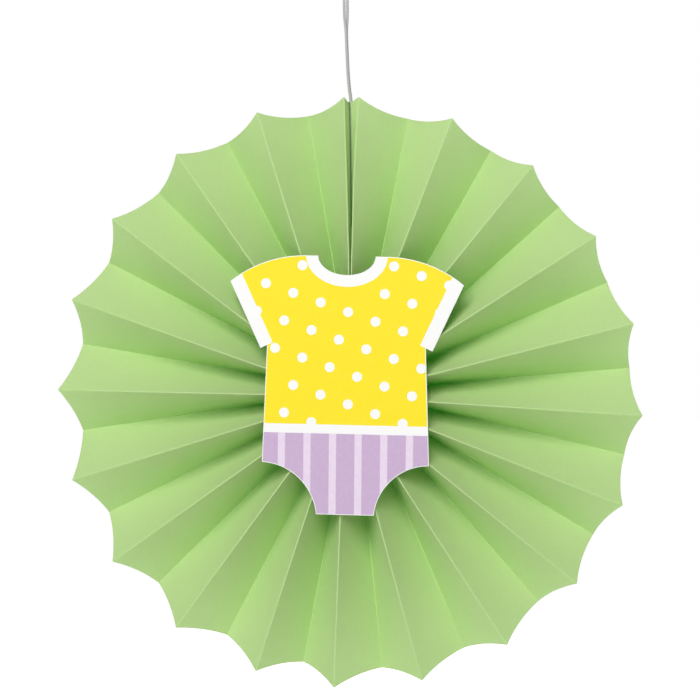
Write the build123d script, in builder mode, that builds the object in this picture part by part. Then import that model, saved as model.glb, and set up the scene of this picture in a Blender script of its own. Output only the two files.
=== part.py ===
"""Hanging paper fan rosette with a die-cut baby romper card on its front.

One long strip of paper is folded like an accordion and opened until its two ends meet, where
their last panels are taped back to back. The folds are held together by a foam pad under the
card and a paper disc behind the centre. A doubled cord comes out of the seam as a hanging loop.

Frame, in millimetres: the origin is the centre of the fan, +X to the right and +Z up as one
faces the fan, and the card faces -Y. Azimuths run clockwise from +Z. Depth is counted towards
the viewer, so a point at depth d lies at y = -d.
"""

import os
from math import atan2, cos, degrees, pi, radians, sin, sqrt, tan

from build123d import *

# Paper strip
fan_radius = 203.2  # centre to the tips of the scalloped rim, a 16 inch fan
centre_hole_radius = 8.0
rim_pleat_depth = 20.83  # from crest back to valley at the rim, where the pleats are widest open
paper = 0.25
fold_flat = 0.6  # the rounded back of a fold, drawn as a narrow flat
scallop_drop = 10.5  # how far the rim falls from a tip to the valley beside it
rim_waste = 3.0  # the strip is folded this much too wide, and the rim is then cut
# The pleats were opened by hand, so they differ. Degrees from crest to crest, clockwise from
# the seam. They are scaled together to fill the circle that the seam leaves.
pleat_opening = [18.6, 18.0, 18.2, 18.3, 17.8, 17.8, 17.7, 18.3, 18.2, 17.5,
                 15.8, 17.9, 18.0, 17.9, 18.0, 18.0, 17.8, 18.1, 17.9, 17.3]

# Seam at the top
left_lip = 4.1  # from the middle to the left end crest, at the rim
right_lip = 6.2
rim_lip_depth = 1.5  # from the wider lip's crest back to the joint at the rim
glue_flap = 20.0  # whole width of an end panel, from its crest to the cut edge
tape_gap = 0.5
joint_gap = 1.2  # gap at the front of the joint, in front of the cord
seam_opens_at = 92.0  # radius where the joint starts to open for the cord
seam_open_length = 20.0
seam_bow = 2.1  # how far the seam bows to the right between the centre and the rim
seam_lean = 0.9  # how far the cord pulls the joint to the left at the rim
tip_rise = 1.0  # the two end crests stand out this much beyond the other tips
tape_inner = 14.0
tape_outer = 75.0
tape_back = -1.0  # depths of the tape's two long edges
tape_front = 7.0
tape_thickness = 0.24

# Hanging cord
cord_diameter = 2.1
cord_clearance = 0.15
leg_spacing = 2.24  # between the centres of the two legs

# Discs that hold the folds together
glue_film = 0.02
pad_radius = 18.0
pad_thickness = 1.5
disc_radius = 25.0
disc_thickness = 0.5

# Romper card, with u across from its middle line and v up from the fan's centre
card_thickness = 0.6
card_offset = 0.5  # stuck on a little to the right of the centre
ink = 0.08
ink_margin = 0.5  # bare edge round the printed fields
shoulder_height = 96.0
neck_half_width = 19.8
neck_depth = 13.0
collar_half_width = 28.15
collar_depth = 21.0
sleeve_top = (80.6, 77.5)
sleeve_bottom = (59.5, 32.0)
cuff_width = 9.4
side_top_half_width = 54.9
hip = (57.9, -46.5)
crotch = (20.0, -81.6)
leg_hole_radius = 39.0
waist_top = -19.6
waist_height = 6.3
dot_diameter = 6.9
dot_pitch = 20.0
dot_tilt = 18.1
dot_anchor = (-36.9, 70.2)
dot_reach = 5  # rows and columns of dots each way from the anchor
stripe_pitch = 17.74
stripe_width = 5.0
stripe_count = 6

parts_folder = "parts"
cord_radius = cord_diameter / 2
cord_gap = cord_diameter + 2 * cord_clearance
cord_front = leg_spacing / 2 + cord_radius  # depth of the front of the doubled cord in the seam
seam_open_from = seam_opens_at + seam_open_length  # from here out the cord lies in the seam
# Each end panel splays open in front of the joint, over a strip wide enough for the wider lip.
lip_width = sqrt((max(left_lip, right_lip) + seam_lean) ** 2 + rim_lip_depth**2)
lip_angles = (left_lip + right_lip) / fan_radius
opening_scale = (2 * pi - lip_angles) / sum(pleat_opening)
openings = [opening * opening_scale for opening in pleat_opening]
mean_opening = sum(openings) / len(openings)
crest_azimuth = [right_lip / fan_radius]
for opening in openings:
    crest_azimuth.append(crest_azimuth[-1] + opening)
valley_azimuth = [azimuth + opening / 2 for azimuth, opening in zip(crest_azimuth, openings)]

# The strip's panels are as wide as the rim needs: half a pleat across and the pleat's depth back.
rim_run = fan_radius * mean_opening / 2 - fold_flat
fold_run = sqrt(rim_run**2 + rim_pleat_depth**2)
panel_width = fold_run + fold_flat  # across the strip from one fold to the next


def pleat_depth(radius, opening):
    """Depth from a crest back to a valley, so that the panel keeps its paper width."""
    return sqrt(fold_run**2 - (radius * opening / 2 - fold_flat) ** 2)


def crest_depth(radius):
    return pleat_depth(radius, mean_opening) / 2


def valley_depth(radius, opening):
    return crest_depth(radius) - pleat_depth(radius, opening)


def seam_gap(radius, opened):
    """Gap between the two flaps: as thick as the tape, then opening for the cord."""
    share = min(max((radius - seam_opens_at) / seam_open_length, 0), 1)
    return tape_gap + (opened - tape_gap) * share**2 * (3 - 2 * share)


def bow_at(radius):
    """How far the seam bows to the right: none at the centre and at the rim, most a third of the way."""
    share = (radius - centre_hole_radius) / (fan_radius - centre_hole_radius)
    return seam_bow * 27 / 4 * share * (1 - share) ** 2


def seam_centre(radius):
    """Sideways place of the joint, which bows and is pulled to the left by the cord near the rim."""
    share = max(radius - seam_open_from, 0) / (fan_radius - seam_open_from)
    return bow_at(radius) - seam_lean * share**3


def end_panel(radius, lip, opening, side):
    """Points of an end panel from its cut edge to its crest, as sideways distance and depth.

    The two flaps nearly meet at the joint and stand further apart behind it, round the cord.
    The crest is close to the joint inside and curves open towards the rim.
    """
    front = seam_gap(radius, joint_gap) / 2 + paper / 2
    behind = seam_gap(radius, cord_gap) / 2 + paper / 2
    closed = front + fold_flat / 2
    offset = closed + (lip - closed) * (radius / fan_radius) ** 3 + side * bow_at(radius)
    valley = radius * (lip / fan_radius + opening / 2)
    rise = sqrt(fold_run**2 - (valley - offset - fold_flat) ** 2)
    crest = valley_depth(radius, opening) + rise
    centre = side * seam_centre(radius)
    splay = offset - fold_flat / 2 - centre - front
    joint_depth = crest - sqrt(lip_width**2 - splay**2)
    cut_edge = joint_depth - (glue_flap - lip_width)
    return [
        (side * (centre + behind), cut_edge),
        (side * (centre + behind), cord_front),
        (side * (centre + front), joint_depth),
        (side * (offset - fold_flat / 2), crest),
        (side * (offset + fold_flat / 2), crest),
    ]


def paper_line(radius):
    """Middle of the paper at one radius: distance along the circle, and depth."""
    line = end_panel(radius, right_lip, openings[0], 1)
    for index, opening in enumerate(openings):
        if index:
            crest = radius * crest_azimuth[index]
            line.append((crest - fold_flat / 2, crest_depth(radius)))
            line.append((crest + fold_flat / 2, crest_depth(radius)))
        valley = radius * valley_azimuth[index]
        line.append((valley - fold_flat / 2, valley_depth(radius, opening)))
        line.append((valley + fold_flat / 2, valley_depth(radius, opening)))
    left = end_panel(radius, left_lip, openings[-1], -1)
    line.extend((2 * pi * radius + along, depth) for along, depth in reversed(left))
    return line


def paper_faces(radius):
    """Front and back of the paper at one radius, as two rows of points."""
    line = paper_line(radius)
    normals = []
    for (a0, d0), (a1, d1) in zip(line, line[1:]):
        length = sqrt((a1 - a0) ** 2 + (d1 - d0) ** 2)
        normals.append(((d0 - d1) / length, (a1 - a0) / length))
    before = [normals[0]] + normals
    after = normals + [normals[-1]]
    rows = ([], [])
    for (along, depth), n0, n1 in zip(line, before, after):
        mitre = paper / 2 / (1 + n0[0] * n1[0] + n0[1] * n1[1])
        shift = ((n0[0] + n1[0]) * mitre, (n0[1] + n1[1]) * mitre)
        for row, sign in zip(rows, (1, -1)):
            azimuth = (along + sign * shift[0]) / radius
            row.append(Vector(radius * sin(azimuth), -depth - sign * shift[1], radius * cos(azimuth)))
    return rows


def rim_point(radius, azimuth):
    return (radius * sin(azimuth), radius * cos(azimuth))


# The folded strip. Each fold edge is a smooth line through the sections at these radii, and
# each panel is the ruled face between two such lines, on both sides of the paper.
section_radii = [
    centre_hole_radius,
    (centre_hole_radius + tape_outer) / 2,
    tape_outer,
    (tape_outer + seam_opens_at) / 2,
    seam_opens_at,
    seam_opens_at + seam_open_length / 2,
    seam_open_from,
    seam_open_from + (fan_radius - seam_open_from) / 3,
    seam_open_from + (fan_radius - seam_open_from) * 2 / 3,
    fan_radius + rim_waste,
]
sections = [paper_faces(radius) for radius in section_radii]
front_edges, back_edges = (
    [Edge.make_spline(points) for points in zip(*(section[side] for section in sections))]
    for side in (0, 1)
)
strip_faces = []
for edges in (front_edges, back_edges):
    for edge, following in zip(edges, edges[1:]):
        strip_faces.append(Face.make_surface_from_curves(edge, following))
for index in (0, -1):
    strip_faces.append(Face.make_surface_from_curves(front_edges[index], back_edges[index]))
for front_row, back_row in (sections[0], sections[-1]):
    for index in range(len(front_row) - 1):
        front_end = Edge.make_line(front_row[index], front_row[index + 1])
        back_end = Edge.make_line(back_row[index], back_row[index + 1])
        strip_faces.append(Face.make_surface_from_curves(front_end, back_end))

# The rim is cut through all folds at once, so each pleat opens to a hollow curve. At the seam
# the end panels show only the outer part of that curve, which leaves a small notch.
valley_rim_radius = fan_radius - scallop_drop
notch_height = fan_radius + tip_rise - scallop_drop * (1 - (1 - lip_width / panel_width) ** 2)
notch_half_width = cord_gap / 2 + paper
tip_radii = [fan_radius + tip_rise] + [fan_radius] * (len(openings) - 1) + [fan_radius + tip_rise]

with BuildPart() as pleated_fan:
    add(Solid(Shell(strip_faces)))
    with BuildSketch(Plane.XZ) as rim:
        with BuildLine():
            tips = [rim_point(*tip) for tip in zip(tip_radii, crest_azimuth)]
            for start, valley, end in zip(tips, valley_azimuth, tips[1:]):
                ThreePointArc(start, rim_point(valley_rim_radius, valley), end)
            Polyline(
                tips[-1],
                (seam_centre(fan_radius) - notch_half_width, notch_height),
                (seam_centre(fan_radius) + notch_half_width, notch_height),
                tips[0],
            )
        make_face()
    extrude(amount=panel_width, both=True, mode=Mode.INTERSECT)
pleated_fan.part.label = "pleated_fan"

# Double-sided tape between the two end panels, in the part of the joint that stays closed.
with BuildPart() as seam_tape:
    with BuildSketch(Plane.XZ.offset(tape_back)):
        with BuildLine():
            left_face, right_face = (
                Spline(*[(seam_centre(radius) + half, radius) for radius in section_radii])
                for half in (-tape_thickness / 2, tape_thickness / 2)
            )
            Line(left_face @ 0, right_face @ 0)
            Line(left_face @ 1, right_face @ 1)
        make_face()
        with Locations((0, (tape_inner + tape_outer) / 2)):
            Rectangle(fan_radius, tape_outer - tape_inner, mode=Mode.INTERSECT)
    extrude(amount=tape_front - tape_back)
seam_tape.part.label = "seam_tape"

# Foam pad on the front folds and paper disc on the back folds. Both bridge the centre hole.
fan_front = crest_depth(centre_hole_radius) + paper / 2 + glue_film
fan_back = min(valley_depth(centre_hole_radius, opening) for opening in openings) - paper / 2 - glue_film

with BuildPart() as foam_pad:
    with BuildSketch(Plane.XZ.offset(fan_front)):
        Circle(pad_radius)
    extrude(amount=pad_thickness)
foam_pad.part.label = "foam_pad"

with BuildPart() as backing_disc:
    with BuildSketch(Plane.XZ.offset(fan_back - disc_thickness)):
        Circle(disc_radius)
    extrude(amount=disc_thickness)
backing_disc.part.label = "backing_disc"

# Romper card. Its right half is drawn once and mirrored.
card_plane = Plane(origin=(card_offset, -fan_front - pad_thickness, 0), x_dir=(1, 0, 0), z_dir=(0, -1, 0))
ink_plane = card_plane.offset(card_thickness)
sleeve_angle = atan2(sleeve_top[0] - sleeve_bottom[0], sleeve_top[1] - sleeve_bottom[1])
underarm = (
    side_top_half_width,
    sleeve_bottom[1] + (sleeve_bottom[0] - side_top_half_width) * tan(sleeve_angle),
)

with BuildSketch() as romper:
    with BuildLine():
        neck = EllipticalCenterArc(
            (0, shoulder_height), neck_half_width, neck_depth, start_angle=270, arc_size=90
        )
        collar_top = Line(neck @ 1, (collar_half_width, shoulder_height))
        TangentArc(collar_top @ 1, sleeve_top, tangent=(1, 0))
        Polyline(sleeve_top, sleeve_bottom, underarm, hip)
        RadiusArc(hip, crotch, -leg_hole_radius)
        Polyline(crotch, (0, crotch[1]), neck @ 0)
    make_face()
    mirror(about=Plane.YZ)

with BuildPart() as romper_card:
    with BuildSketch(card_plane):
        add(romper.sketch)
    extrude(amount=card_thickness)
romper_card.part.label = "romper_card"

# The printed fields lie on the card inside a bare edge. Collar, cuffs, waistband and dots are
# the white of the card itself.
with BuildSketch() as printed:
    add(offset(romper.sketch, -ink_margin, kind=Kind.INTERSECTION, mode=Mode.PRIVATE))

cutter = 4 * shoulder_height  # long and wide enough to reach past the card's edge
with BuildSketch() as top_field:
    add(printed.sketch)
    with Locations((0, waist_top)):
        Rectangle(cutter, cutter, align=(Align.CENTER, Align.MAX), mode=Mode.SUBTRACT)
    with Locations((0, shoulder_height)):
        Ellipse(collar_half_width, collar_depth, mode=Mode.SUBTRACT)
    for side in (1, -1):
        cuff_align = Align.MAX if side > 0 else Align.MIN
        with Locations(Location((side * sleeve_bottom[0], sleeve_bottom[1]), -side * degrees(sleeve_angle))):
            Rectangle(cuff_width, cutter, align=(cuff_align, Align.MIN), mode=Mode.SUBTRACT)

dot_row = Vector(dot_pitch, 0).rotate(Axis.Z, -dot_tilt)
dot_column = Vector(0, dot_pitch).rotate(Axis.Z, -dot_tilt)
dot_radius = dot_diameter / 2
card_face = romper.sketch.faces()[0]
dots = []  # none is printed where its centre would fall on the collar
for row in range(-dot_reach, dot_reach + 1):
    for column in range(-dot_reach, dot_reach + 1):
        centre = Vector(*dot_anchor) + dot_row * row + dot_column * column
        rim_points = [centre + Vector(dot_radius, 0).rotate(Axis.Z, turn) for turn in range(0, 360, 45)]
        reach = (centre.X / collar_half_width) ** 2 + ((centre.Y - shoulder_height) / collar_depth) ** 2
        if reach > 1 and all(card_face.is_inside(point) for point in rim_points):
            dots.append(centre)

with BuildPart() as yellow_print:
    with BuildSketch(ink_plane):
        add(top_field.sketch)
        with Locations(dots):
            Circle(dot_radius, mode=Mode.SUBTRACT)
    extrude(amount=ink)
yellow_print.part.label = "yellow_print"

waist_bottom = waist_top - waist_height
stripe_places = [
    ((index - (stripe_count - 1) / 2) * stripe_pitch, waist_bottom) for index in range(stripe_count)
]
stripe_align = (Align.CENTER, Align.MAX)

with BuildPart() as lilac_print:
    with BuildSketch(ink_plane):
        add(printed.sketch)
        with Locations((0, waist_bottom)):
            Rectangle(cutter, cutter, align=(Align.CENTER, Align.MIN), mode=Mode.SUBTRACT)
        with Locations(stripe_places):
            Rectangle(stripe_width, cutter, align=stripe_align, mode=Mode.SUBTRACT)
    extrude(amount=ink)
lilac_print.part.label = "lilac_print"

with BuildPart() as pale_stripes:
    with BuildSketch(ink_plane):
        with Locations(stripe_places):
            Rectangle(stripe_width, cutter, align=stripe_align)
        add(printed.sketch, mode=Mode.INTERSECT)
    extrude(amount=ink)
pale_stripes.part.label = "pale_stripes"

# Hanging cord. Its two ends lie one behind the other between the glued flaps. Above the fan
# the legs turn side by side, and the top is an open eye, as it hangs from a hook.
leg_heights = [115.0, 133.0, 153.0, 173.0, 189.0, 202.0]
lean_points = [(-2.1, 208.0), (-3.15, 220.0), (-4.15, 238.0), (-4.7, 250.0)]
turn_point = (-4.9, 256.0)
beside_point = (-5.05, 262.0)
eye_base = (-5.3, 274.0)
eye_radius = 7.1
eye_spread = 30.0  # degrees that each leg leans out into the eye

half_spacing = leg_spacing / 2
eye_corner = eye_radius / cos(radians(30))
eye_rise = (eye_radius - half_spacing * cos(radians(eye_spread))) / sin(radians(eye_spread))
eye_centre = (eye_base[0], eye_base[1] + eye_rise)


def cord_leg(side):
    """Points of one leg from its buried end up to the foot of the eye."""
    points = [(seam_centre(height), side * half_spacing, height) for height in leg_heights]
    points += [(across, side * half_spacing, height) for across, height in lean_points]
    diagonal = half_spacing * cos(radians(45))
    points.append((turn_point[0] + side * diagonal, side * diagonal, turn_point[1]))
    points.append((beside_point[0] + side * half_spacing, 0, beside_point[1]))
    points.append((eye_base[0] + side * half_spacing, 0, eye_base[1]))
    return points


eye = [
    (eye_centre[0] + eye_corner * sin(radians(turn)), 0, eye_centre[1] + eye_corner * cos(radians(turn)))
    for turn in (-90, -30, 30, 90)
]
route = [Vector(*point) for point in cord_leg(-1) + eye + cord_leg(1)[::-1]]
bend_radii = []
for before, corner, after in zip(route, route[1:], route[2:]):
    turn = (corner - before).get_angle(after - corner)
    shorter_run = min((corner - before).length, (after - corner).length)
    bend_radii.append(0.45 * shorter_run / tan(radians(turn / 2)))

with BuildPart() as hanging_cord:
    with BuildLine() as cord_path:
        FilletPolyline(*route, radius=bend_radii)
    with BuildSketch(Plane(origin=route[0], z_dir=route[1] - route[0])):
        Circle(cord_radius)
    sweep()
hanging_cord.part.label = "hanging_cord"
print("cord length", round(cord_path.wire().length, 1), "bend radii", [round(r, 1) for r in bend_radii])
print("cord volume over section times length",
      round(hanging_cord.part.volume / (pi * cord_radius**2 * cord_path.wire().length), 4))

pieces = [
    pleated_fan,
    seam_tape,
    foam_pad,
    backing_disc,
    romper_card,
    yellow_print,
    lilac_print,
    pale_stripes,
    hanging_cord,
]
os.makedirs(parts_folder, exist_ok=True)
for piece in pieces:
    export_step(piece.part, f"{parts_folder}/{piece.part.label}.step")
    print(piece.part.label, round(piece.part.volume, 1), "mm3")
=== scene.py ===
"""Looks for the hanging paper fan rosette with a die-cut romper card on its front.

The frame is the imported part's own, in metres: the origin is the fan's centre, +Z is up and the
card faces -Y. Azimuths run clockwise from +Z. Depth is counted towards the viewer, so a point at
depth d lies at y = -d.
"""

from cmath import rect
from math import cos, exp, pi, radians, sin, sqrt

import bpy
from mathutils import Matrix, Vector, noise


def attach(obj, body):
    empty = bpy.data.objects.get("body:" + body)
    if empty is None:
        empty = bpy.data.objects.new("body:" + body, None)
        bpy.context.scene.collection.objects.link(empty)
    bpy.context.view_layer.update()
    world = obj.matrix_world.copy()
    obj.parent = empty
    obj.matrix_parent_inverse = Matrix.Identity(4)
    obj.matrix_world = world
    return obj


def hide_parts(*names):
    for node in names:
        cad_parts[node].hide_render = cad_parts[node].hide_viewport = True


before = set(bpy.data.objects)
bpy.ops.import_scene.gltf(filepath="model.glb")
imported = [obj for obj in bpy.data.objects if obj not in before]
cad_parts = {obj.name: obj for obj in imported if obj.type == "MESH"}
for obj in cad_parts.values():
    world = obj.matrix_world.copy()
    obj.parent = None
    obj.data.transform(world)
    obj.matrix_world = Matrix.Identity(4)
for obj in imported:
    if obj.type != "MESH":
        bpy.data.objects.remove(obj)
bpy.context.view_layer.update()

# Camera. A long lens from far away, a little to the right of the fan and above it. The fan hangs
# half a degree out of true in the picture, so the camera is turned about the fan's axis.
mm = 0.001
camera_distance = 3000 * mm
camera_azimuth = radians(9.1)
camera_elevation = radians(4.6)
camera_roll = radians(-0.5)
picture_width = 481.7 * mm  # what the picture shows, at the fan
aim_right = 0.1 * mm
aim_up = 30 * mm

back_to_camera = Vector((
    sin(camera_azimuth) * cos(camera_elevation),
    -cos(camera_azimuth) * cos(camera_elevation),
    sin(camera_elevation),
))
camera_turn = (-back_to_camera).to_track_quat("-Z", "Y")
camera_place = camera_turn @ Vector((aim_right, aim_up, 0)) + back_to_camera * camera_distance
camera_data = bpy.data.cameras.new("camera")
camera_data.sensor_width = 36
camera_data.lens = camera_data.sensor_width * camera_distance / picture_width
camera_data.clip_end = 50
camera = bpy.data.objects.new("camera", camera_data)
camera_stand = Matrix.LocRotScale(camera_place, camera_turn, None)
camera.matrix_world = Matrix.Rotation(camera_roll, 4, "Y") @ camera_stand
bpy.context.scene.collection.objects.link(camera)
bpy.context.scene.camera = camera
bpy.context.scene.view_settings.view_transform = "Standard"


# Hanging cord. A grey cotton cord of three twisted plies. Both its ends are glued in the seam of
# the fan, one behind the other. Above the fan the legs turn side by side, and the top opens into
# an eye, as it does over a hook.
cord_diameter = 0.0021
cord_smoothness = 24  # steps of the curve for each point of the route
ply_count = 3
ply_radius = 0.00056
ply_pitch = 0.0062  # length in which a ply goes once round
ply_sides = 10
ply_step = 0.0006

cord_route = [
    # front leg, from the seam up
    (0.0016, -0.0011, 0.115), (0.0012, -0.0011, 0.133), (0.0006, -0.0011, 0.153),
    (0, -0.0011, 0.173), (-0.0005, -0.0011, 0.189), (-0.0009, -0.0011, 0.202),
    (-0.0021, -0.0011, 0.208), (-0.0032, -0.0011, 0.220), (-0.0042, -0.0011, 0.238),
    (-0.0047, -0.0011, 0.250), (-0.0057, -0.0008, 0.256), (-0.0062, 0, 0.262), (-0.0064, 0, 0.274),
    # eye
    (-0.0135, 0, 0.2863), (-0.0094, 0, 0.2934), (-0.0012, 0, 0.2934), (0.0029, 0, 0.2863),
    # back leg, down to the seam
    (-0.0042, 0, 0.274), (-0.0039, 0, 0.262), (-0.0041, 0.0008, 0.256), (-0.0047, 0.0011, 0.250),
    (-0.0042, 0.0011, 0.238), (-0.0032, 0.0011, 0.220), (-0.0021, 0.0011, 0.208),
    (-0.0009, 0.0011, 0.202), (-0.0005, 0.0011, 0.189), (0, 0.0011, 0.173), (0.0006, 0.0011, 0.153),
    (0.0012, 0.0011, 0.133), (0.0016, 0.0011, 0.115),
]

cord_curve = bpy.data.curves.new("cord_route", "CURVE")
cord_curve.dimensions = "3D"
cord_spline = cord_curve.splines.new("NURBS")
cord_spline.points.add(len(cord_route) - 1)
for control, point in zip(cord_spline.points, cord_route):
    control.co = (*point, 1)
cord_spline.order_u = 3
cord_spline.use_endpoint_u = True
cord_spline.resolution_u = cord_smoothness
cord_holder = bpy.data.objects.new("cord_route", cord_curve)
bpy.context.scene.collection.objects.link(cord_holder)
cord_line = [vertex.co.copy() for vertex in bpy.data.meshes.new_from_object(cord_holder).vertices]
bpy.data.objects.remove(cord_holder)


def spaced(line, step):
    """The line's points, moved along it until they lie evenly."""
    reached = [0.0]
    for start, end in zip(line, line[1:]):
        reached.append(reached[-1] + (end - start).length)
    count = round(reached[-1] / step)
    points, index = [], 0
    for number in range(count + 1):
        wanted = reached[-1] * number / count
        while index < len(line) - 2 and reached[index + 1] < wanted:
            index += 1
        share = (wanted - reached[index]) / (reached[index + 1] - reached[index])
        points.append(line[index].lerp(line[index + 1], share))
    return points


def twisted_plies(line):
    """Vertices and faces of the plies, wound round the line."""
    winding_radius = cord_diameter / 2 - ply_radius
    travel = (line[1] - line[0]).length
    across = Vector((1, 0, 0))
    rings = []
    for number, point in enumerate(line):
        ahead = (line[min(number + 1, len(line) - 1)] - line[max(number - 1, 0)]).normalized()
        across = (across - ahead * across.dot(ahead)).normalized()
        rings.append((point, across, ahead.cross(across)))
    verts, faces = [], []
    for ply in range(ply_count):
        first = len(verts)
        for number, (point, across, over) in enumerate(rings):
            turn = 2 * pi * (ply / ply_count + number * travel / ply_pitch)
            centre = point + (across * cos(turn) + over * sin(turn)) * winding_radius
            for corner in range(ply_sides):
                around = 2 * pi * corner / ply_sides
                verts.append(centre + (across * cos(around) + over * sin(around)) * ply_radius)
        for number in range(len(rings) - 1):
            for corner in range(ply_sides):
                low = first + number * ply_sides + corner
                beside = first + number * ply_sides + (corner + 1) % ply_sides
                faces.append((low, beside, beside + ply_sides, low + ply_sides))
        last = first + (len(rings) - 1) * ply_sides
        faces.append(tuple(range(first + ply_sides - 1, first - 1, -1)))
        faces.append(tuple(range(last, last + ply_sides)))
    return verts, faces


def new_piece(name, verts, faces, *materials):
    """A smooth-shaded piece of the fan with these materials, fixed to the root body."""
    mesh = bpy.data.meshes.new(name)
    mesh.from_pydata(verts, [], faces)
    mesh.shade_smooth()
    for material in materials:
        mesh.materials.append(material)
    piece = bpy.data.objects.new(name, mesh)
    bpy.context.scene.collection.objects.link(piece)
    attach(piece, "root")
    return piece


def linear(code):
    """An sRGB hex colour as linear RGBA."""
    channels = [int(code[place:place + 2], 16) / 255 for place in (1, 3, 5)]
    return [c / 12.92 if c <= 0.04045 else ((c + 0.055) / 1.055) ** 2.4 for c in channels] + [1]


def add_node(tree, kind, sockets, **settings):
    """Adds a shader node. A socket is given a value, or another node's output to link."""
    node = tree.nodes.new("ShaderNode" + kind)
    for name, value in settings.items():
        setattr(node, name, value)
    for key, value in sockets.items():
        if isinstance(value, bpy.types.NodeSocket):
            tree.links.new(value, node.inputs[key])
        else:
            node.inputs[key].default_value = value
    return node


def start_material(name, roughness, specular):
    """A material's node tree, its shader and the place that its patterns are drawn from."""
    material = bpy.data.materials.new(name)
    material.use_nodes = True
    tree = material.node_tree
    shader = tree.nodes["Principled BSDF"]
    shader.inputs["Roughness"].default_value = roughness
    shader.inputs["Specular IOR Level"].default_value = specular
    place = add_node(tree, "TexCoord", {}).outputs["Object"]
    return material, tree, shader, place


# Dyed cotton yarn: dull and fuzzy, with paler and darker fibres. A fibre is 0.02 mm thick, too
# fine to show, so the streaks are drawn 0.3 mm wide.
grey_cotton, tree, shader, place = start_material("grey_cotton", 0.85, 0.2)
shader.inputs["Sheen Weight"].default_value = 0.25
streak_width = 0.3 * mm
fibres = add_node(
    tree, "TexNoise", {"Vector": place, "Scale": 1 / streak_width, "Detail": 3.0}
).outputs[0]
shade = add_node(tree, "MapRange", {"Value": fibres, "From Min": 0.3, "From Max": 0.7}).outputs[0]
tones = {0: shade, 6: linear("#B0B0AF"), 7: linear("#D4D4D2")}
tone = add_node(tree, "Mix", tones, data_type="RGBA").outputs[2]
tree.links.new(tone, shader.inputs["Base Color"])
fuzz = add_node(tree, "Bump", {"Height": fibres, "Distance": 0.05 * mm})
tree.links.new(fuzz.outputs[0], shader.inputs["Normal"])

cord_points = spaced(cord_line, ply_step)
cord = new_piece("cord_plies", *twisted_plies(cord_points), grey_cotton)
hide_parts("hanging_cord")


# Folded strip. One sheet of lime paper, creased back and forth, fanned out and joined at the
# top. Its panels bow a little between the folds, as paper does when it is pulled open by hand.
# Its sizes are in millimetres, and its openings are shares of the full turn.
fan_radius = 203.2
centre_hole_radius = 8.0
rim_pleat_depth = 20.83
paper = 0.25
fold_flat = 0.6  # width of the paper that a fold takes up
scallop_drop = 10.5
pleat_opening = [18.6, 18.0, 18.2, 18.3, 17.8, 17.8, 17.7, 18.3, 18.2, 17.5,
                 15.8, 17.9, 18.0, 17.9, 18.0, 18.0, 17.8, 18.1, 17.9, 17.3]
left_lip = 4.1  # from the seam to the fold beside it, at the rim
right_lip = 6.2
rim_lip_depth = 1.5
tip_rise = 1.0  # how much longer the two tips beside the seam are
glue_flap = 20.0  # paper from a fold beside the seam to the cut end
tape_gap = 0.5
joint_gap = 1.2
cord_gap = 2.4
cord_front = 2.17  # depth at which the flaps part to pass the cord
seam_opens_at = 92.0
seam_open_from = 112.0
seam_bow = 2.1
seam_lean = 0.9
seam_runs = 3  # runs of the section from a cut end to the fold beside the seam
panel_bow = 1.0
bow_length = 75.0
bow_apart = 7.3  # step through the noise from one run to the next, so that none bow alike
bow_slice = 0.3  # where the noise is cut through for the bow
panel_ripple = 0.3
ripple_length = 24.0
ripple_apart = 3.1
ripples_across = 2
fold_round = 0.12  # how far a rounded fold stands proud of its flat
rim_tries = 4  # after this many, a column's distance to the rim no longer changes
mesh_rows = 58
edge_row = 0.001  # share of the way out that the narrow row beside a cut edge takes
panel_columns = (0, 0.012, 0.04, 0.1, 0.2, 0.32, 0.44, 0.56, 0.68, 0.8, 0.9, 0.96, 0.988)
fold_columns = (0, 0.25, 0.5, 0.75)

opening_scale = (2 * pi - (left_lip + right_lip) / fan_radius) / sum(pleat_opening)
openings = [opening * opening_scale for opening in pleat_opening]
mean_opening = sum(openings) / len(openings)
crest_azimuth = [right_lip / fan_radius]
for opening in openings:
    crest_azimuth.append(crest_azimuth[-1] + opening)
fold_run = sqrt((fan_radius * mean_opening / 2 - fold_flat) ** 2 + rim_pleat_depth**2)
panel_width = fold_run + fold_flat
lip_width = sqrt((right_lip + seam_lean) ** 2 + rim_lip_depth**2)
tip_radii = [fan_radius + tip_rise] + [fan_radius] * (len(openings) - 1) + [fan_radius + tip_rise]


def pleat_depth(radius, opening):
    """Depth from a crest back to a valley, so that the panel keeps its paper width."""
    return sqrt(fold_run**2 - (radius * opening / 2 - fold_flat) ** 2)


def crest_depth(radius):
    """Depth of the crests, in front of the middle of the fan."""
    return pleat_depth(radius, mean_opening) / 2


def valley_depth(radius, opening):
    """Depth of a valley, below zero because it lies behind the middle."""
    return crest_depth(radius) - pleat_depth(radius, opening)


def seam_gap(radius, opened):
    """Clear width of the seam: taped near the centre, and eased open to its width further out."""
    share = min(max((radius - seam_opens_at) / (seam_open_from - seam_opens_at), 0), 1)
    return tape_gap + (opened - tape_gap) * share**2 * (3 - 2 * share)


def bow_at(radius):
    """How far the seam bows to the right. It is most, seam_bow, a third of the way out."""
    share = (radius - centre_hole_radius) / (fan_radius - centre_hole_radius)
    return seam_bow * 27 / 4 * share * (1 - share) ** 2


def seam_centre(radius):
    """Middle of the joint, to the right of the seam's azimuth. It leans left near the rim."""
    share = max(radius - seam_open_from, 0) / (fan_radius - seam_open_from)
    return bow_at(radius) - seam_lean * share**3


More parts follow.
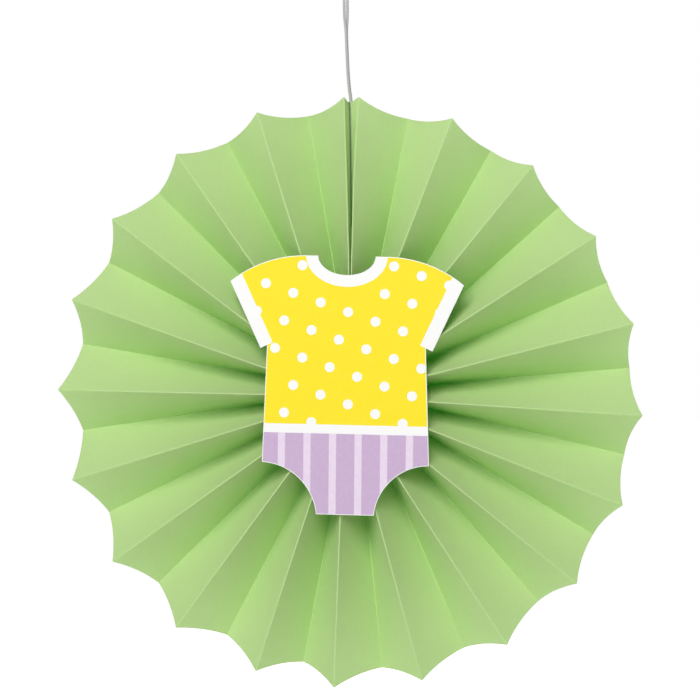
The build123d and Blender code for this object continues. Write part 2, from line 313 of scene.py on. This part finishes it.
def end_panel(radius, lip, opening, side):
    """An end panel from its cut edge, round the cord, to the joint and the crest."""
    front = (seam_gap(radius, joint_gap) + paper) / 2
    behind = (seam_gap(radius, cord_gap) + paper) / 2
    closed = front + fold_flat / 2
    offset = closed + (lip - closed) * (radius / fan_radius) ** 3 + side * bow_at(radius)
    valley = radius * (lip / fan_radius + opening / 2)
    crest = valley_depth(radius, opening) + sqrt(fold_run**2 - (valley - offset - fold_flat) ** 2)
    centre = side * seam_centre(radius)
    joint_depth = crest - sqrt(lip_width**2 - (offset - fold_flat / 2 - centre - front) ** 2)
    return [
        (side * (centre + behind), joint_depth - (glue_flap - lip_width)),
        (side * (centre + behind), cord_front),
        (side * (centre + front), joint_depth),
        (side * (offset - fold_flat / 2), crest),
        (side * (offset + fold_flat / 2), crest),
    ]


def paper_line(radius):
    """Middle of the paper at one radius: distance along the circle, and depth."""
    line = end_panel(radius, right_lip, openings[0], 1)
    for index, opening in enumerate(openings):
        if index:
            crest = radius * crest_azimuth[index]
            line.append((crest - fold_flat / 2, crest_depth(radius)))
            line.append((crest + fold_flat / 2, crest_depth(radius)))
        valley = radius * (crest_azimuth[index] + opening / 2)
        line.append((valley - fold_flat / 2, valley_depth(radius, opening)))
        line.append((valley + fold_flat / 2, valley_depth(radius, opening)))
    left = end_panel(radius, left_lip, openings[-1], -1)
    line.extend((2 * pi * radius + along, depth) for along, depth in reversed(left))
    return line


def rim_at(azimuth):
    """Distance to the cut rim: a hollow arc across each pleat, and a notch at the seam."""
    for number, (start, end) in enumerate(zip(crest_azimuth, crest_azimuth[1:])):
        if start <= azimuth <= end:
            # the circle through both tips and the dip between them, in the complex plane
            tip, next_tip = rect(tip_radii[number], start), rect(tip_radii[number + 1], end)
            dip = rect(fan_radius - scallop_drop, (start + end) / 2)
            turn = (next_tip - tip) / (dip - tip)
            centre = tip + (dip - tip) * (turn - abs(turn) ** 2) / (2j * turn.imag)
            ahead = centre * rect(1, -azimuth)
            return ahead.real - sqrt(abs(centre - dip) ** 2 - ahead.imag**2)
    azimuth = (azimuth + pi) % (2 * pi) - pi
    notch = tip_radii[0] - scallop_drop * (1 - (1 - lip_width / panel_width) ** 2)
    middle = seam_centre(fan_radius) / fan_radius
    half_notch = (cord_gap / 2 + paper) / fan_radius
    if azimuth > middle:
        tip, edge = crest_azimuth[0], middle + half_notch
    else:
        tip, edge = -left_lip / fan_radius, middle - half_notch
    return notch + (tip_radii[0] - notch) * min(max((azimuth - edge) / (tip - edge), 0), 1)


def strip_columns():
    """Each column of the mesh as a run of the folded section, its share of it, and its kind."""
    runs = len(paper_line(fan_radius)) - 1
    columns = []
    for run in range(runs):
        is_fold = seam_runs <= run < runs - seam_runs and run % 2 == 1
        columns += [(run, share, is_fold) for share in (fold_columns if is_fold else panel_columns)]
    return columns + [(runs - 1, 1, False)]


def strip_point(column, radius, share_out):
    """One point of the paper's middle, and how near it is to a crest (1) or a valley (-1)."""
    run, share, is_fold = column
    line = paper_line(radius)
    (a0, d0), (a1, d1) = line[run], line[run + 1]
    length = sqrt((a1 - a0) ** 2 + (d1 - d0) ** 2)
    if is_fold:
        nearness = 1 if d0 > 0 else -1
        lift = nearness * fold_round * sin(pi * share)
    else:
        rises = 1 if d1 > d0 else -1
        from_last, to_next = length * share, length * (1 - share)
        nearness = rises * (exp(-to_next / fold_flat) - exp(-from_last / fold_flat))
        bow_place = Vector((run * bow_apart, radius / bow_length, bow_slice))
        ripple_place = Vector((run * ripple_apart, radius / ripple_length, share * ripples_across))
        wave = panel_bow * noise.noise(bow_place) + panel_ripple * noise.noise(ripple_place)
        by_seam = run < seam_runs or run >= len(line) - 1 - seam_runs
        lift = 0 if by_seam else wave * sin(pi * share) * share_out
    azimuth = (a0 + (a1 - a0) * share + (d0 - d1) / length * lift) / radius
    depth = d0 + (d1 - d0) * share + (a1 - a0) / length * lift
    return Vector((radius * sin(azimuth), -depth, radius * cos(azimuth))) * mm, nearness


def folded_strip():
    """Vertices, faces and fold nearness of the strip, cut to the scalloped rim."""
    verts, nearness, faces = [], [], []
    columns = strip_columns()
    shares_out = [0, edge_row, *(row / mesh_rows for row in range(1, mesh_rows)), 1 - edge_row, 1]
    for run, share, is_fold in columns:
        rim = fan_radius
        for _ in range(rim_tries):
            line = paper_line(rim)
            along = line[run][0] + (line[run + 1][0] - line[run][0]) * share
            rim = rim_at(along / rim)
        for share_out in shares_out:
            radius = centre_hole_radius + (rim - centre_hole_radius) * share_out
            point, near = strip_point((run, share, is_fold), radius, share_out)
            verts.append(point)
            nearness.append(near)
    ring = len(shares_out)
    for column in range(len(columns) - 1):
        for row in range(ring - 1):
            low = column * ring + row
            faces.append((low, low + 1, low + ring + 1, low + ring))
    return verts, faces, nearness


# Lime-dyed craft paper, 180 g: matt, dyed right through, with a faint cloudiness where its fibres
# lie thicker. Along a crest it is paler: partly rubbed fibres, partly a painted highlight where the
# fold catches the lamp. Inside a valley it is darker, which is painted shade. A fibre is 0.03 mm
# thick, so the grain is drawn 1 mm wide. A fifth of the light goes through the paper and comes out
# green, so panels turned from the lamp look greener than the others.
lime_paper, tree, shader, place = start_material("lime_paper", 0.8, 0.25)
cloud_size = 55 * mm
grain_size = 1.0 * mm
light_passed = 0.2
clouds = add_node(
    tree, "TexNoise", {"Vector": place, "Scale": 1 / cloud_size, "Detail": 3.0}
).outputs[0]
clouds = add_node(tree, "MapRange", {"Value": clouds, "From Min": 0.3, "From Max": 0.7}).outputs[0]
grain = add_node(
    tree, "TexNoise", {"Vector": place, "Scale": 1 / grain_size, "Detail": 4.0}
).outputs[0]
flecks = add_node(tree, "MapRange", {"Value": grain, "From Min": 0.4, "From Max": 0.75}).outputs[0]
fold = add_node(tree, "Attribute", {}, attribute_name="fold").outputs["Fac"]
# Paler along a crest: partly rubbed fibres, partly a painted highlight. Darker inside a valley:
# painted shade.
crest_wear_and_highlight = add_node(tree, "MapRange", {"Value": fold, "From Min": 0.3, "From Max": 2.2}).outputs[0]
painted_valley_shade = add_node(tree, "MapRange", {"Value": fold, "From Min": -0.3, "From Max": -2.2}).outputs[0]
tones = {0: clouds, 6: linear("#CEE2A2"), 7: linear("#D2E7A5")}
tone = add_node(tree, "Mix", tones, data_type="RGBA").outputs[2]
for share, code in ((flecks, "#D6EAA8"), (crest_wear_and_highlight, "#D7EFB1"), (painted_valley_shade, "#C9DF9D")):
    tone = add_node(tree, "Mix", {0: share, 6: tone, 7: linear(code)}, data_type="RGBA").outputs[2]
tree.links.new(tone, shader.inputs["Base Color"])
gloss = add_node(tree, "MapRange", {"Value": grain, "To Min": 0.74, "To Max": 0.86}).outputs[0]
tree.links.new(gloss, shader.inputs["Roughness"])
tooth = add_node(tree, "Bump", {"Height": grain, "Distance": 0.02 * mm})
tree.links.new(tooth.outputs[0], shader.inputs["Normal"])
passing = add_node(tree, "BsdfTranslucent", {"Color": linear("#6CED6C")})
dyed = add_node(tree, "MixShader", {0: light_passed, 1: shader.outputs[0], 2: passing.outputs[0]})
tree.links.new(dyed.outputs[0], tree.nodes["Material Output"].inputs["Surface"])

# The cut edge of the same paper: sheared fibres, paler and rougher than the face. They are too
# fine to show, and are drawn ten times as wide as they are.
cut_paper, tree, shader, place = start_material("cut_paper_edge", 0.9, 0.2)
fibre_width = 0.3 * mm
grain = add_node(
    tree, "TexNoise", {"Vector": place, "Scale": 1 / fibre_width, "Detail": 3.0}
).outputs[0]
tones = {0: grain, 6: linear("#AFCF8C"), 7: linear("#D5E6BD")}
tone = add_node(tree, "Mix", tones, data_type="RGBA").outputs[2]
tree.links.new(tone, shader.inputs["Base Color"])
tooth = add_node(tree, "Bump", {"Height": grain, "Distance": 0.03 * mm})
tree.links.new(tooth.outputs[0], shader.inputs["Normal"])

verts, faces, nearness = folded_strip()
strip = new_piece("folded_strip", verts, faces, lime_paper, cut_paper)
strip.data.attributes.new("fold", "FLOAT", "POINT").data.foreach_set("value", nearness)
sheet = strip.modifiers.new("paper", "SOLIDIFY")
sheet.thickness = paper * mm
sheet.offset = 0
sheet.material_offset_rim = 1
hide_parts("pleated_fan")


def dress(node, material):
    """Gives a CAD node its material."""
    node.data.materials.clear()
    node.data.materials.append(material)


# Seam tape. A strip of clear double-sided tape between the two end panels, hidden in the joint.
# Polypropylene film, calendered: smooth and a little glossy, with faint streaks in its glue.
clear_film, tree, shader, place = start_material("clear_film", 0.35, 0.5)
glue_streak = 4 * mm
streaks = add_node(
    tree, "TexNoise", {"Vector": place, "Scale": 1 / glue_streak, "Detail": 2.0}
).outputs[0]
tones = {0: streaks, 6: linear("#E4E4DA"), 7: linear("#F3F3EC")}
tone = add_node(tree, "Mix", tones, data_type="RGBA").outputs[2]
tree.links.new(tone, shader.inputs["Base Color"])
gloss = add_node(tree, "MapRange", {"Value": streaks, "To Min": 0.25, "To Max": 0.45}).outputs[0]
tree.links.new(gloss, shader.inputs["Roughness"])
dress(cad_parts["seam_tape"], clear_film)


# Foam pad. A round of white polyethylene foam with glue on both faces, which holds the front
# folds together and carries the card. Its skin shows cells about 0.7 mm across.
white_foam, tree, shader, place = start_material("white_foam", 0.9, 0.2)
cell_size = 0.7 * mm
cells = add_node(tree, "TexVoronoi", {"Vector": place, "Scale": 1 / cell_size}).outputs["Distance"]
tones = {0: cells, 6: linear("#F5F5F3"), 7: linear("#DADAD7")}
tone = add_node(tree, "Mix", tones, data_type="RGBA").outputs[2]
tree.links.new(tone, shader.inputs["Base Color"])
skin = add_node(tree, "Bump", {"Height": cells, "Distance": 0.15 * mm})
tree.links.new(skin.outputs[0], shader.inputs["Normal"])
dress(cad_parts["foam_pad"], white_foam)


# Romper card. White folding boxboard, die-cut and stuck on the foam pad. Its face is clay-coated
# and smooth, and its cut edge is bare pulp, greyer and rougher. The grain is too fine to show, and
# is drawn 0.6 mm wide.
white_board, tree, shader, place = start_material("coated_white_board", 0.5, 0.35)
board_grain = 0.6 * mm
grain = add_node(
    tree, "TexNoise", {"Vector": place, "Scale": 1 / board_grain, "Detail": 3.0}
).outputs[0]
# 1 on the cut edge and 0 on the face and back, from the way that the surface faces
normal = add_node(tree, "NewGeometry", {}).outputs["Normal"]
facing = add_node(tree, "SeparateXYZ", {0: normal}).outputs["Y"]
edge = add_node(tree, "Math", {0: facing, 1: facing}, operation="MULTIPLY").outputs[0]
edge = add_node(tree, "MapRange", {"Value": edge, "From Min": 0.6, "From Max": 0.4}).outputs[0]
coat_tones = {0: grain, 6: linear("#FAFAF9"), 7: linear("#FEFEFD")}
coat = add_node(tree, "Mix", coat_tones, data_type="RGBA").outputs[2]
pulp_tones = {0: grain, 6: linear("#D9D8D2"), 7: linear("#F0EFEA")}
pulp = add_node(tree, "Mix", pulp_tones, data_type="RGBA").outputs[2]
tone = add_node(tree, "Mix", {0: edge, 6: coat, 7: pulp}, data_type="RGBA").outputs[2]
tree.links.new(tone, shader.inputs["Base Color"])
gloss = add_node(tree, "MapRange", {"Value": edge, "To Min": 0.5, "To Max": 0.9}).outputs[0]
tree.links.new(gloss, shader.inputs["Roughness"])
tooth = add_node(tree, "Bump", {"Height": grain, "Distance": 0.006 * mm})
tree.links.new(tooth.outputs[0], shader.inputs["Normal"])
dress(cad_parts["romper_card"], white_board)


# Print on the card. Flat litho ink in yellow, lilac and pale lilac, which stops just inside the
# cut. The ink lies unevenly in a faint mottle about 2 mm wide, and is glossier where it is thick.
mottle_width = 2 * mm


def litho_ink(name, code, thin_code):
    """An ink's material, from its colour and the paler one where it lies thin."""
    material, tree, shader, place = start_material(name, 0.5, 0.35)
    mottle = add_node(
        tree, "TexNoise", {"Vector": place, "Scale": 1 / mottle_width, "Detail": 4.0}
    ).outputs[0]
    thin = add_node(
        tree, "MapRange", {"Value": mottle, "From Min": 0.35, "From Max": 0.8}
    ).outputs[0]
    tones = {0: thin, 6: linear(code), 7: linear(thin_code)}
    tone = add_node(tree, "Mix", tones, data_type="RGBA").outputs[2]
    tree.links.new(tone, shader.inputs["Base Color"])
    gloss = add_node(tree, "MapRange", {"Value": thin, "To Min": 0.42, "To Max": 0.6}).outputs[0]
    tree.links.new(gloss, shader.inputs["Roughness"])
    film = add_node(tree, "Bump", {"Height": mottle, "Distance": 0.006 * mm})
    tree.links.new(film.outputs[0], shader.inputs["Normal"])
    return material


dress(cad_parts["yellow_print"], litho_ink("yellow_ink", "#FFE81E", "#FFEA30"))
dress(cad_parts["lilac_print"], litho_ink("lilac_ink", "#CBB0D2", "#D0B7D7"))
dress(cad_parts["pale_stripes"], litho_ink("pale_lilac_ink", "#EBD9EE", "#EFE0F2"))


# Backing disc. Lime card glued over the back folds at the centre, stiffer than the strip. It is
# dyed and uncoated like the strip's paper, with the same grain and with smaller clouds.
lime_card, tree, shader, place = start_material("lime_card", 0.8, 0.25)
card_cloud_size = 20 * mm
clouds = add_node(
    tree, "TexNoise", {"Vector": place, "Scale": 1 / card_cloud_size, "Detail": 3.0}
).outputs[0]
grain = add_node(
    tree, "TexNoise", {"Vector": place, "Scale": 1 / grain_size, "Detail": 4.0}
).outputs[0]
flecks = add_node(tree, "MapRange", {"Value": grain, "From Min": 0.4, "From Max": 0.75}).outputs[0]
tones = {0: clouds, 6: linear("#AFCE86"), 7: linear("#B4D28B")}
tone = add_node(tree, "Mix", tones, data_type="RGBA").outputs[2]
tones = {0: flecks, 6: tone, 7: linear("#B8D591")}
tone = add_node(tree, "Mix", tones, data_type="RGBA").outputs[2]
tree.links.new(tone, shader.inputs["Base Color"])
tooth = add_node(tree, "Bump", {"Height": grain, "Distance": 0.02 * mm})
tree.links.new(tooth.outputs[0], shader.inputs["Normal"])
dress(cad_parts["backing_disc"], lime_card)


# Studio. A soft lamp in front and above, a like one behind, an even white surround, and a pale
# floor far below the fan. Camera, glossy and transmission rays see the surround as white.
lamp_places = {
    "front_lamp": Vector((-0.19, -2.14, 1.28)),
    "back_lamp": Vector((0.19, 2.14, 1.28)),
}
lamp_size = 1.3
lamp_watts = 47
surround_strength = 0.15
floor_height = -0.6
floor_half_width = 6
floor_glow = 0.85  # seen by the camera alone, so that it lights nothing

for name, lamp_place in lamp_places.items():
    lamp_data = bpy.data.lights.new(name, "AREA")
    lamp_data.size = lamp_size
    lamp_data.energy = lamp_watts
    lamp = bpy.data.objects.new(name, lamp_data)
    lamp.matrix_world = Matrix.LocRotScale(lamp_place, (-lamp_place).to_track_quat("-Z", "Y"), None)
    bpy.context.scene.collection.objects.link(lamp)

world = bpy.data.worlds.new("studio")
world.use_nodes = True
bpy.context.scene.world = world
tree = world.node_tree
rays = add_node(tree, "LightPath", {}).outputs
seen = add_node(tree, "Math", {0: rays["Is Camera Ray"], 1: rays["Is Glossy Ray"]}).outputs[0]
seen = add_node(tree, "Math", {0: seen, 1: rays["Is Transmission Ray"]}).outputs[0]
strength = add_node(tree, "MapRange", {"Value": seen, "To Min": surround_strength, "To Max": 1.0})
surround = tree.nodes["Background"]
surround.inputs["Color"].default_value = linear("#FFFFFF")
tree.links.new(strength.outputs[0], surround.inputs["Strength"])

# Painted floor board: matt and even, with faint scuffs.
pale_floor, tree, shader, place = start_material("pale_floor", 0.9, 0.2)
scuff_size = 300 * mm
scuffs = add_node(
    tree, "TexNoise", {"Vector": place, "Scale": 1 / scuff_size, "Detail": 3.0}
).outputs[0]
tones = {0: scuffs, 6: linear("#F1F1EF"), 7: linear("#F6F6F5")}
tone = add_node(tree, "Mix", tones, data_type="RGBA").outputs[2]
tree.links.new(tone, shader.inputs["Base Color"])
camera_ray = add_node(tree, "LightPath", {}).outputs["Is Camera Ray"]
glow = add_node(tree, "Math", {0: camera_ray, 1: floor_glow}, operation="MULTIPLY").outputs[0]
shader.inputs["Emission Color"].default_value = linear("#FFFFFF")
tree.links.new(glow, shader.inputs["Emission Strength"])
floor_corners = [
    (x * floor_half_width, y * floor_half_width, floor_height)
    for x, y in ((-1, -1), (1, -1), (1, 1), (-1, 1))
]
floor_mesh = bpy.data.meshes.new("floor")
floor_mesh.from_pydata(floor_corners, [], [(0, 1, 2, 3)])
floor_mesh.materials.append(pale_floor)
floor = bpy.data.objects.new("floor", floor_mesh)
bpy.context.scene.collection.objects.link(floor)
